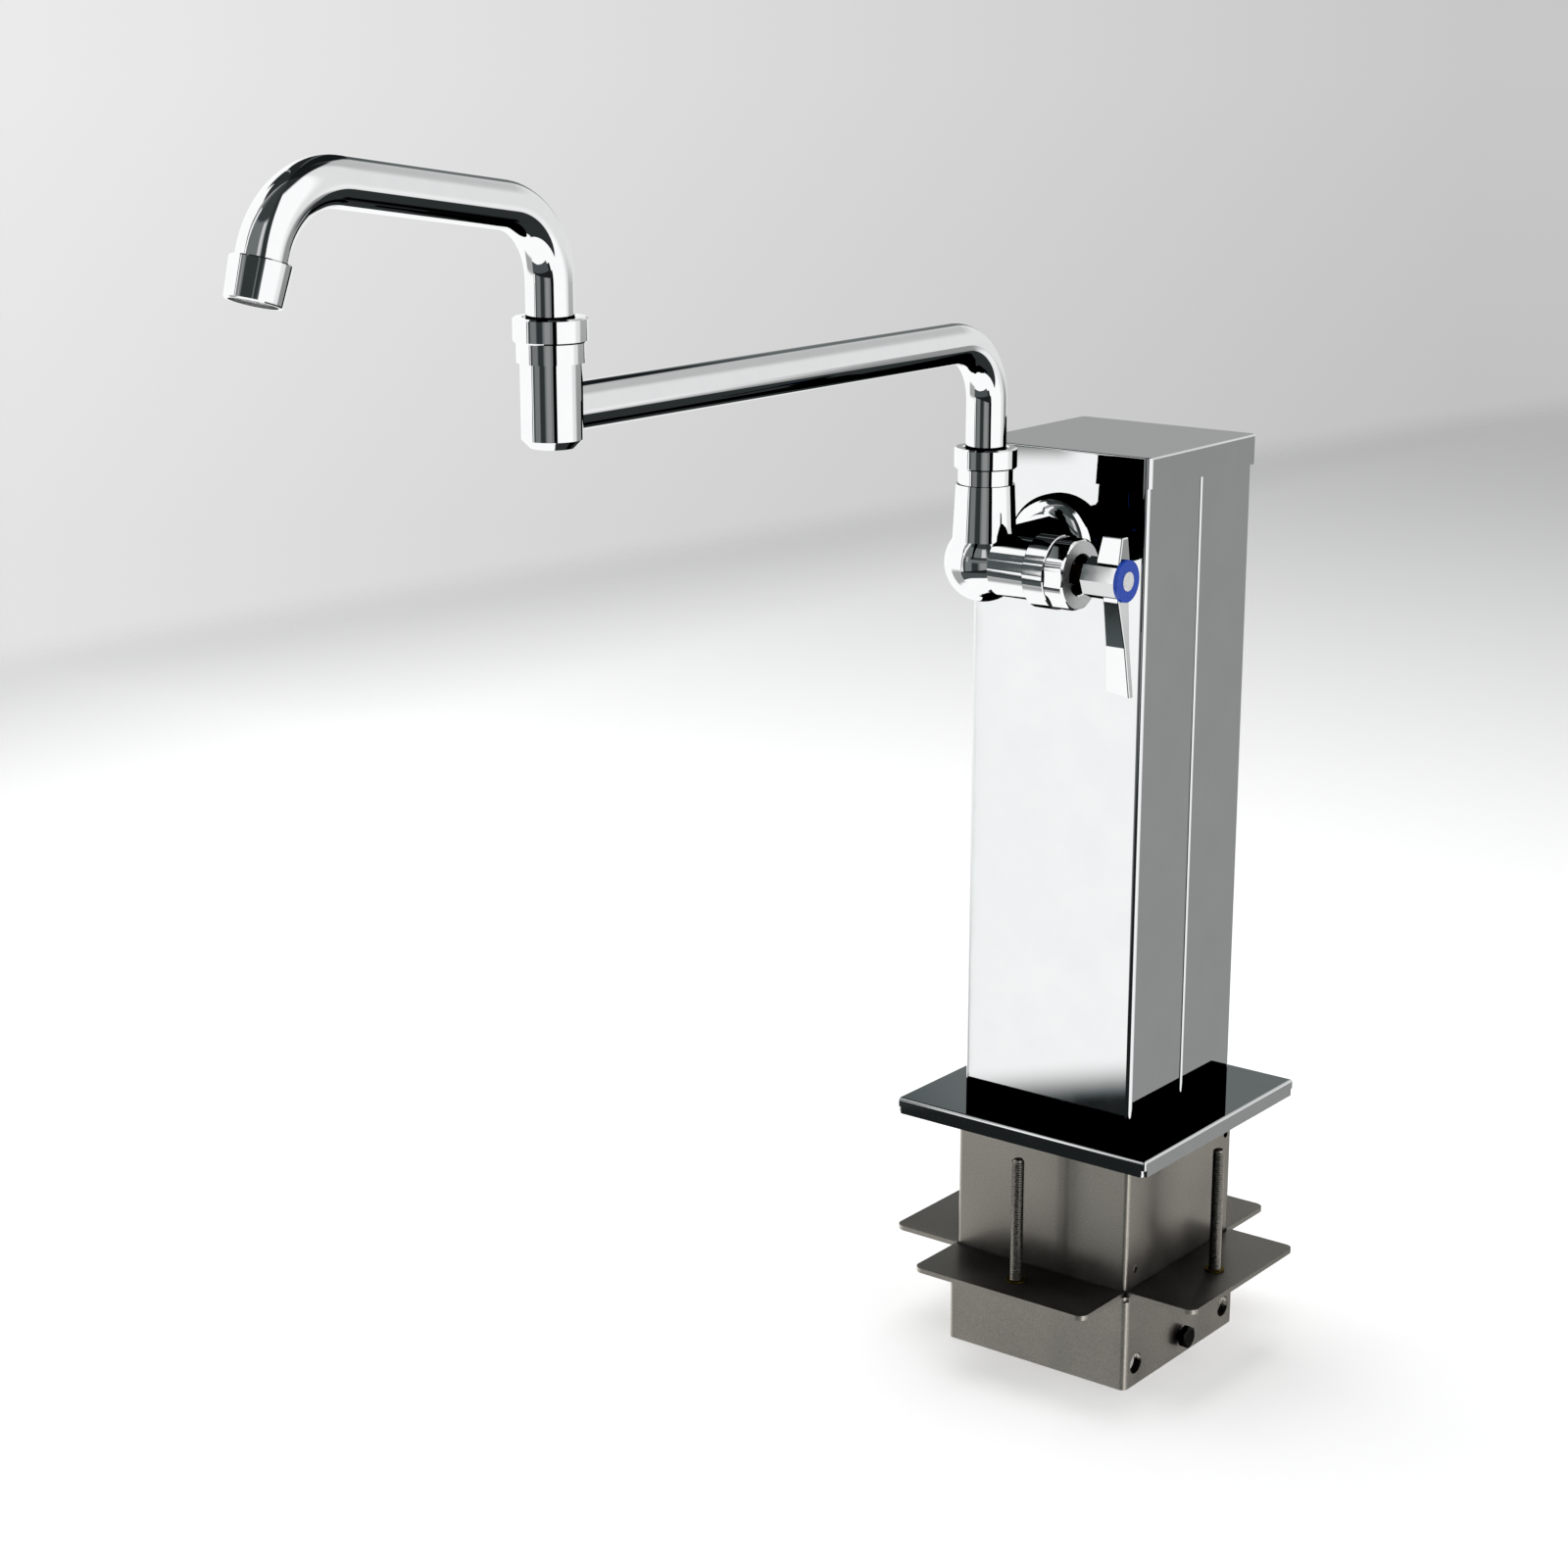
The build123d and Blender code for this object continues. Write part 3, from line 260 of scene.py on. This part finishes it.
def rings(shape, outline, segments, closed=False):
    """Rings joined by walls along Z, with both ends capped unless the last ring is the first.

    A ring is its height, its radius, its number of sides (0 for round) and its fall: how much
    lower its corners lie than the middles of its sides, per mm that they stand out.
    """
    loop = None
    for height, radius, sides, fall in outline:
        if loop is None:
            made = bmesh.ops.create_circle(
                shape, cap_ends=not closed, segments=segments, radius=mm
            )
            points = made["verts"]
            loop = list({edge for point in points for edge in point.link_edges})
        else:
            made = bmesh.ops.extrude_edge_only(shape, edges=loop)["geom"]
            points = [part for part in made if isinstance(part, bmesh.types.BMVert)]
            loop = [
                part for part in made
                if isinstance(part, bmesh.types.BMEdge) and all(v in points for v in part.verts)
            ]
        for point in points:
            angle = atan2(point.co.y, point.co.x)
            reach = radius
            if sides:
                half = pi / sides
                reach = radius / cos((angle + half) % (2 * half) - half)
                reach = min(reach, radius * corner_reach[sides])
            lowered = height - fall * (reach - radius)
            point.co = (reach * cos(angle) * mm, reach * sin(angle) * mm, lowered * mm)
    if not closed:
        bmesh.ops.contextual_create(shape, geom=loop)


def thread(shape, low, high, root, crest, pitch, segments=16):
    """A screw thread along Z: a ridge that winds round a core, with closed ends."""
    foot = pitch * 0.46
    lip = pitch * 0.07
    sunk = root - 0.1
    corners = [
        shape.verts.new((radius * mm, 0, (low + foot + rise) * mm))
        for radius, rise in ((sunk, -foot), (crest, -lip), (crest, lip), (sunk, foot))
    ]
    start = shape.faces.new(corners)
    steps = round((high - low - 2 * foot) / pitch * segments)
    bmesh.ops.spin(
        shape, geom=list(start.edges), cent=(0, 0, 0), axis=(0, 0, 1),
        dvec=(0, 0, pitch * mm / segments), angle=2 * pi * steps / segments, steps=steps,
        use_merge=False, use_duplicate=False,
    )
    bmesh.ops.holes_fill(shape, edges=[e for e in shape.edges if e.is_boundary], sides=4)


def set_order(parts, key):
    """Number the points or faces of a mesh in the order of this key."""
    parts.index_update()
    ranks = {part.index: rank for rank, part in enumerate(sorted(parts, key=key))}
    parts.sort(key=lambda part: ranks[part.index])
    parts.index_update()


def new_piece(name, shape, place, body, node, slot, sharp=30):
    """Make the piece from its mesh along Z, put it in its place and on its body."""
    bmesh.ops.remove_doubles(shape, verts=shape.verts, dist=0.0001 * mm)
    bmesh.ops.transform(shape, matrix=place, verts=shape.verts)
    bmesh.ops.recalc_face_normals(shape, faces=shape.faces)
    for face in shape.faces:
        face.smooth = True
    # The order that bmesh leaves changes from run to run, so it is set by place
    set_order(shape.verts, lambda point: tuple(point.co))
    set_order(shape.faces, lambda face: sorted(point.index for point in face.verts))
    mesh = bpy.data.meshes.new(name)
    shape.to_mesh(mesh)
    shape.free()
    mesh.set_sharp_from_angle(angle=radians(sharp))
    piece = bpy.data.objects.new(name, mesh)
    bpy.context.scene.collection.objects.link(piece)
    mesh.materials.append(finishes[slot])
    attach(piece, body)
    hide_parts(node)
    return piece


def jack_rod(name, x, y):
    """Threaded rod with a hexagon socket in its lower end."""
    low, high = -85.5, -8.0
    root, tip, chamfer = 2.6, 2.2, 0.4
    socket, socket_depth = 1.6, 5
    shape = bmesh.new()
    outline = (
        (low + socket_depth, socket, 6, 0), (low, socket, 6, 0), (low, tip, 0, 0),
        (low + chamfer, root, 0, 0), (high - chamfer, root, 0, 0), (high, tip, 0, 0),
    )
    rings(shape, outline, 24)
    thread(shape, low + 0.3, high - 0.3, root, screw_crest, screw_pitch)
    place = Matrix.Translation((x * mm, y * mm, 0))
    new_piece(name + "_threaded", shape, place, name, name, "zinc_steel")


def lock_bolt(name, side):
    """Hexagon bolt with a washer face, chamfered corners and a threaded shank, along X."""
    tip, foot, top = 52.1, 56.9, 60.9
    root, washer, head = 2.65, 5.2, 5.55
    shape = bmesh.new()
    outline = (
        (tip, 2.2, 0, 0), (tip + 0.5, root, 0, 0), (foot, root, 0, 0), (foot, 5.1, 0, 0),
        (foot + 0.4, washer, 0, 0), (foot + 0.4, head, 6, -0.5), (top - 0.3, head, 6, 0.5),
        (top, 5.0, 0, 0), (top, 3.9, 0, 0), (top - 0.25, 3.6, 0, 0),
    )
    rings(shape, outline, 48)
    thread(shape, tip + 0.2, foot, root, screw_crest, screw_pitch)
    turn = Matrix.Rotation(side * pi / 2, 4, "Y") @ Matrix.Rotation(pi / 6, 4, "Z")
    place = Matrix.Translation((0, 0, lock_bolt_height * mm)) @ turn
    new_piece(name + "_bolt", shape, place, name, name, "black_steel")


def octagon_bonnet():
    """Bonnet with a round collar, an octagon for the wrench and a recess round the stem."""
    foot, shoulder, lip, collar_end, end = 25.5, 34.5, 32.4, 43.9, 54.0
    bore, spigot, undercut, collar, flat = 4.58, 10.5, 14.9, 17.5, 16.2
    recess, recess_depth = 9.5, 8
    shape = bmesh.new()
    outline = (
        (foot, bore, 0, 0), (foot, spigot, 0, 0), (shoulder, spigot, 0, 0),
        (shoulder, undercut, 0, 0), (lip, undercut, 0, 0), (lip, 17.1, 0, 0),
        (lip + 0.4, collar, 0, 0), (collar_end - 0.4, collar, 0, 0),
        (collar_end, 17.1, 0, 0), (collar_end, 15.6, 0, 0), (collar_end + 0.3, flat, 8, 0),
        (end - 0.5, flat, 8, 0.6), (end, 15.9, 0, 0), (end, 10.1, 0, 0),
        (end - 0.6, recess, 0, 0), (end - recess_depth, recess, 0, 0),
        (end - recess_depth, bore, 0, 0), (foot, bore, 0, 0),
    )
    rings(shape, outline, 64, closed=True)
    centre = [v * mm for v in bonnet_centre]
    place = Matrix.Translation(centre) @ Matrix.Rotation(pi / 2, 4, "Y")
    piece = new_piece("bonnet_octagon", shape, place, "column", "bonnet", "chrome_finish", 20)
    # The end face is left as turned
    piece.data.materials.append(chrome_over_turned())
    for face in piece.data.polygons:
        if face.normal.x > 0.9:
            face.material_index = 1


def threaded_adapter():
    """Hexagon adapter on the riser's foot, with a male pipe thread below."""
    foot, shoulder, top = -119.0, -105.0, -86.0
    root, crest, pitch = 9.6, 10.48, 1.81
    bore, flat, socket, socket_depth = 6.5, 12.0, 7.6, 10
    shape = bmesh.new()
    outline = (
        (foot, bore, 0, 0), (foot, 9.2, 0, 0), (foot + 0.7, root, 0, 0),
        (shoulder, root, 0, 0), (shoulder, 11.6, 0, 0),
        (shoulder + 0.3, flat, 6, -0.5), (top - 0.3, flat, 6, 0.5), (top, 11.4, 0, 0),
        (top, socket, 0, 0), (top - socket_depth, socket, 0, 0),
        (top - socket_depth, bore, 0, 0), (foot, bore, 0, 0),
    )
    rings(shape, outline, 48, closed=True)
    thread(shape, foot + 0.5, shoulder, root, crest, pitch, 32)
    place = Matrix.Translation((0, riser_line * mm, 0)) @ Matrix.Rotation(pi / 6, 4, "Z")
    new_piece("inlet_adapter_threaded", shape, place, "column", "inlet_adapter", "brass")


for rod, (x, y) in {
    "jack_screw_right": (rod_circle, 0), "jack_screw_back": (0, rod_circle),
    "jack_screw_left": (-rod_circle, 0), "jack_screw_front": (0, -rod_circle),
}.items():
    jack_rod(rod, x, y)
lock_bolt("lock_screw_right", 1)
lock_bolt("lock_screw_left", -1)
octagon_bonnet()
threaded_adapter()


# Studio: the floor, the lamp and the world


# Floor and backdrop, in metres and shares of full light, set by trial against the photograph
floor_glow = 0.35
floor_fade_start, floor_fade_end = 2.2, 5.5
# The floor's painted shade: how much darker it gets towards the back and towards the fold on the
# left
floor_rear_start, floor_rear_end, floor_rear_shade_loss, floor_rear_curve = 0.7, 3.3, 0.5, 0.75
floor_side_start, floor_side_end, floor_side_shade_level = -1.25, -1.75, 0.69
fold_slope, fold_start, fold_end = -0.16, -2.0, -1.75
backdrop_left = (-0.473, -0.369, 0)
backdrop_start, backdrop_end = -0.13, 0.14
backdrop_dark, backdrop_light = 0.575, 0.83
# How much the backdrop changes on its way down, between these two elevations in degrees
backdrop_low_end, backdrop_low_start, backdrop_low_change = -10, -2, -0.06

lamp_place = (-0.5, 0.2, 2.0)
lamp_size = 1.8
lamp_power = 20.0


def floor_material():
    """Matt white paper with painted shade that darkens it towards the backdrop, and that ends in
    it without an edge.
    """
    material = bpy.data.materials.new("studio_paper_white")
    material.use_nodes = True
    tree = material.node_tree
    tree.nodes.clear()
    place = add_node(tree, "ShaderNodeTexCoord").outputs["Object"]
    axes = add_node(tree, "ShaderNodeSeparateXYZ", {"Vector": place}).outputs
    # Painted shade in the paper's colour and glow: darker towards the back, where the light falls
    # off, and towards the fold of the paper on the left
    rear_shade = add_node(
        tree, "ShaderNodeMapRange",
        {"Value": axes["Y"], "From Min": floor_rear_start, "From Max": floor_rear_end},
    ).outputs[0]
    rear_shade = add_node(
        tree, "ShaderNodeMath", {0: rear_shade, 1: floor_rear_curve}, operation="POWER"
    ).outputs[0]
    rear_shade = add_node(
        tree, "ShaderNodeMath", {0: rear_shade, 1: -floor_rear_shade_loss, 2: 1.0}, operation="MULTIPLY_ADD"
    ).outputs[0]
    # Painted shade, darker towards the fold on the left
    side = add_node(
        tree, "ShaderNodeMapRange",
        {
            "Value": axes["X"], "From Min": floor_side_end, "From Max": floor_side_start,
            "To Min": floor_side_shade_level,
        },
    ).outputs[0]
    shade = add_node(tree, "ShaderNodeMath", {0: rear_shade, 1: side}, operation="MULTIPLY").outputs[0]
    matt = add_node(tree, "ShaderNodeBsdfDiffuse", {"Color": shade})
    camera_ray = add_node(tree, "ShaderNodeLightPath").outputs["Is Camera Ray"]
    glow_level = add_node(
        tree, "ShaderNodeMath", {0: camera_ray, 1: floor_glow}, operation="MULTIPLY"
    ).outputs[0]
    glow = add_node(tree, "ShaderNodeEmission", {"Color": shade, "Strength": glow_level})
    paper = add_node(tree, "ShaderNodeAddShader", {0: matt.outputs[0], 1: glow.outputs[0]})
    reach = add_node(
        tree, "ShaderNodeVectorMath", {0: place}, operation="LENGTH"
    ).outputs["Value"]
    near = add_node(
        tree, "ShaderNodeMapRange",
        {"Value": reach, "From Min": floor_fade_end, "From Max": floor_fade_start},
        interpolation_type="SMOOTHSTEP",
    ).outputs[0]
    fold = add_node(
        tree, "ShaderNodeMath", {0: axes["Y"], 1: fold_slope, 2: axes["X"]},
        operation="MULTIPLY_ADD",
    ).outputs[0]
    fold = add_node(
        tree, "ShaderNodeMapRange",
        {"Value": fold, "From Min": fold_start, "From Max": fold_end},
        interpolation_type="SMOOTHSTEP",
    ).outputs[0]
    solid = add_node(tree, "ShaderNodeMath", {0: near, 1: fold}, operation="MULTIPLY").outputs[0]
    clear = add_node(tree, "ShaderNodeBsdfTransparent")
    mix = add_node(
        tree, "ShaderNodeMixShader", {0: solid, 1: clear.outputs[0], 2: paper.outputs[0]}
    )
    add_node(tree, "ShaderNodeOutputMaterial", {"Surface": mix.outputs[0]})
    return material


def make_floor():
    """The floor under the clamp frame."""
    mesh = bpy.data.meshes.new("studio_floor")
    shape = bmesh.new()
    lift = Matrix.Translation((0, 0, floor_height))
    bmesh.ops.create_grid(shape, x_segments=1, y_segments=1, size=floor_half_side, matrix=lift)
    shape.to_mesh(mesh)
    shape.free()
    floor = bpy.data.objects.new("studio_floor", mesh)
    bpy.context.scene.collection.objects.link(floor)
    floor.data.materials.append(floor_material())
    floor.visible_glossy = False


# Panels round the object, as metal sees them, over a white room: the azimuths and elevations
# that a panel lies between, in degrees, how far its two level edges rise per degree of azimuth,
# its soft edge and its brightness. Azimuth 0 is +X and 90 is +Y, and a later panel covers an
# earlier one. They were placed and set by trial against the reflections in the photograph.
studio_base = 1.02
studio_panels = (
    ("back_wall", 34, 128, -14, 90, 0, 12, 0.77),
    ("back_wall_upper", 66, 128, 30, 90, 0, 16, 0.5),
    ("floor_far", 30, 128, -36, -16, 0, 8, 0.82),
    ("side_wall", 54, 90, -31, -5, 0, 7, 0.29),
    ("side_wall_dark", 64, 76, -27, -15, 0, 5, 0.06),
    ("floor_near_right", 0, 118, -80, -22.8, 0, 1.5, 0.03),
    ("ceiling", -180, 180, 65, 90, 0, 8, 0.03),
    ("ceiling_right", 30, 94, 68, 90, -0.27, 5, 0.012),
    ("corner_foot", 112, 130, 3, 90, 0, 6, 0.36),
    ("corner_grey", 112, 134, 14, 90, 0, 7, 0.16),
    ("ceiling_corner_left", 94, 134, 51, 90, -0.95, 5, 0.01),
    ("ceiling_corner_right", 134, 156, 13, 90, 1.5, 4, 0.02),
    ("ceiling_back", 156, 180, 43, 90, 0, 4, 0.03),
    ("ceiling_left", -180, -112, 55, 90, 0, 3, 0.035),
    ("left_softbox_edge", -142, -126, 51, 90, -1.2, 4, 0.3),
    ("camera_post", -125.4, -122.4, -8.7, 19, 0, 0.5, 0.09),
    ("camera_post_foot", -126.4, -124.2, -21, -8, 0, 0.3, 0.09),
    ("camera_post_middle", -129, -125.5, 25, 38, -2.9, 0.5, 0.09),
    ("camera_post_arm", -137, -126, 40, 47, -1.93, 0.8, 0.09),
    ("camera_wall_low", -168, -129, -46, -18, 0, 8, 0.38),
    ("camera_wall", -119, -27, 2, 90, 0, 3, 0.17),
    ("camera_wall_top", -113, -27, 47, 90, 0, 4, 0.05),
    ("camera_wall_column", -46, -27, 10, 90, 0, 4, 0.035),
    ("camera_window", -64, -50, 20, 45, 0, 4, 0.6),
    ("camera_shelf", -98, -50, 14, 21, 0, 3, 0.04),
    ("camera_light", -111, -104, -2, 19, 0, 4, 0.4),
    ("camera_strip", -119, -30, -20, 6, 0, 2, 0.19),
    ("camera_strip_edge", -119, -112, -20, 14, 0, 3, 0.06),
    ("camera_strip_middle", -92, -72, -20, 6, 0, 7, 0.035),
    ("camera_strip_light", -66, -50, -20, 6, 0, 5, 0.27),
    ("camera_strip_right", -42, -29, -20, 6, 0, 3, 0.0),
    ("table", -129, -34, -41, -20.9, 0.1, 0.8, 0.015),
    ("table_top", -130, -45, -38, -22.6, 0, 1, 0.085),
    ("base_shadow", 62, 80, -53, -45, 0, 6, 0.0),
)


def step_up(tree, value, edge, softness):
    """0 below the edge and 1 above it."""
    return add_node(
        tree, "ShaderNodeMapRange",
        {"Value": value, "From Min": edge - softness / 2, "From Max": edge + softness / 2},
        interpolation_type="SMOOTHSTEP",
    ).outputs[0]


def between(tree, value, low, high, softness, first, last):
    """1 between low and high, and 0 outside them; an end at first or last has no edge."""
    mask = None
    if low > first:
        mask = step_up(tree, value, low, softness)
    if high < last:
        mask = add_node(
            tree, "ShaderNodeMath",
            {0: 1.0 if mask is None else mask, 1: step_up(tree, value, high, softness)},
            operation="SUBTRACT", use_clamp=True,
        ).outputs[0]
    return mask


def make_world():
    """A studio of panels that lights the object, and a plain backdrop for the camera."""
    world = bpy.data.worlds.new("studio_world")
    bpy.context.scene.world = world
    world.use_nodes = True
    tree = world.node_tree
    tree.nodes.clear()
    way = add_node(tree, "ShaderNodeTexCoord").outputs["Generated"]
    axes = add_node(tree, "ShaderNodeSeparateXYZ", {"Vector": way}).outputs
    azimuth = add_node(
        tree, "ShaderNodeMath", {0: axes["Y"], 1: axes["X"]}, operation="ARCTAN2"
    ).outputs[0]
    azimuth = add_node(tree, "ShaderNodeMath", {0: azimuth}, operation="DEGREES").outputs[0]
    rise = add_node(tree, "ShaderNodeMath", {0: axes["Z"]}, operation="ARCSINE").outputs[0]
    rise = add_node(tree, "ShaderNodeMath", {0: rise}, operation="DEGREES").outputs[0]
    level = studio_base
    for name, left, right, low, high, tilt, softness, brightness in studio_panels:
        # A tilted panel's level edges are straight once its slope is taken off the elevation
        height = rise if tilt == 0 else add_node(
            tree, "ShaderNodeMath",
            {0: azimuth, 1: -tilt, 2: add_node(
                tree, "ShaderNodeMath", {0: rise, 1: tilt * left}, operation="ADD"
            ).outputs[0]},
            operation="MULTIPLY_ADD",
        ).outputs[0]
        across = between(tree, azimuth, left, right, softness, -180, 180)
        along = between(tree, height, low, high, softness, -90, 90)
        mask = along if across is None else add_node(
            tree, "ShaderNodeMath", {0: across, 1: along}, operation="MULTIPLY"
        ).outputs[0]
        mix = add_node(tree, "ShaderNodeMix", {0: mask, 2: level, 3: brightness})
        mix.label = name
        level = mix.outputs[0]
    path = add_node(tree, "ShaderNodeLightPath").outputs
    # Metal seen in metal is black, as in the photograph. Real metal isn't.
    limit = add_node(
        tree, "ShaderNodeMath", {0: path["Is Glossy Ray"], 1: 0.5}, operation="ADD"
    ).outputs[0]
    lit = add_node(
        tree, "ShaderNodeMath", {0: path["Glossy Depth"], 1: limit}, operation="LESS_THAN"
    ).outputs[0]
    # Dark panels are a cool grey
    colour = mixed_colour(
        tree, spread(tree, level, 0.0, 1.0, 0.1, 0.25), "#EAFBFD", "#FFFFFF"
    )
    level = add_node(tree, "ShaderNodeMath", {0: level, 1: lit}, operation="MULTIPLY").outputs[0]
    studio = add_node(tree, "ShaderNodeBackground", {"Color": colour, "Strength": level})
    # The backdrop: lighter to the left of the photograph's view, and a little darker lower down
    across = add_node(
        tree, "ShaderNodeVectorMath", {0: way, 1: backdrop_left}, operation="DOT_PRODUCT"
    ).outputs["Value"]
    wall = add_node(
        tree, "ShaderNodeMapRange",
        {
            "Value": across, "From Min": backdrop_start, "From Max": backdrop_end,
            "To Min": backdrop_dark, "To Max": backdrop_light,
        },
    ).outputs[0]
    low = add_node(
        tree, "ShaderNodeMapRange",
        {
            "Value": rise, "From Min": backdrop_low_end, "From Max": backdrop_low_start,
            "To Min": backdrop_low_change, "To Max": 0.0,
        },
    ).outputs[0]
    wall = add_node(tree, "ShaderNodeMath", {0: wall, 1: low}, operation="ADD").outputs[0]
    backdrop = add_node(
        tree, "ShaderNodeBackground", {"Color": (1, 1, 1, 1), "Strength": wall}
    )
    mix = add_node(
        tree, "ShaderNodeMixShader",
        {0: path["Is Camera Ray"], 1: studio.outputs[0], 2: backdrop.outputs[0]},
    )
    add_node(tree, "ShaderNodeOutputWorld", {"Surface": mix.outputs[0]})


def make_lamp():
    """One large soft lamp over the left."""
    lamp = bpy.data.lights.new("studio_lamp", "AREA")
    lamp.shape = "DISK"
    lamp.size = lamp_size
    lamp.energy = lamp_power
    holder = bpy.data.objects.new("studio_lamp", lamp)
    holder.location = lamp_place
    aim = Vector((0, 0, 0)) - holder.location
    holder.rotation_euler = aim.to_track_quat("-Z", "Y").to_euler()
    holder.visible_glossy = False
    bpy.context.scene.collection.objects.link(holder)


def make_camera():
    """The photograph's camera."""
    lens = bpy.data.cameras.new("camera")
    lens.lens = camera_lens
    lens.sensor_width = sensor_width
    lens.clip_end = 100.0
    camera = bpy.data.objects.new("camera", lens)
    camera.location = camera_place
    camera.rotation_euler = (radians(90 - camera_elevation), 0, radians(camera_azimuth))
    bpy.context.scene.collection.objects.link(camera)
    bpy.context.scene.camera = camera


make_camera()
make_world()
make_lamp()
make_floor()
bpy.context.scene.view_settings.view_transform = "Standard"
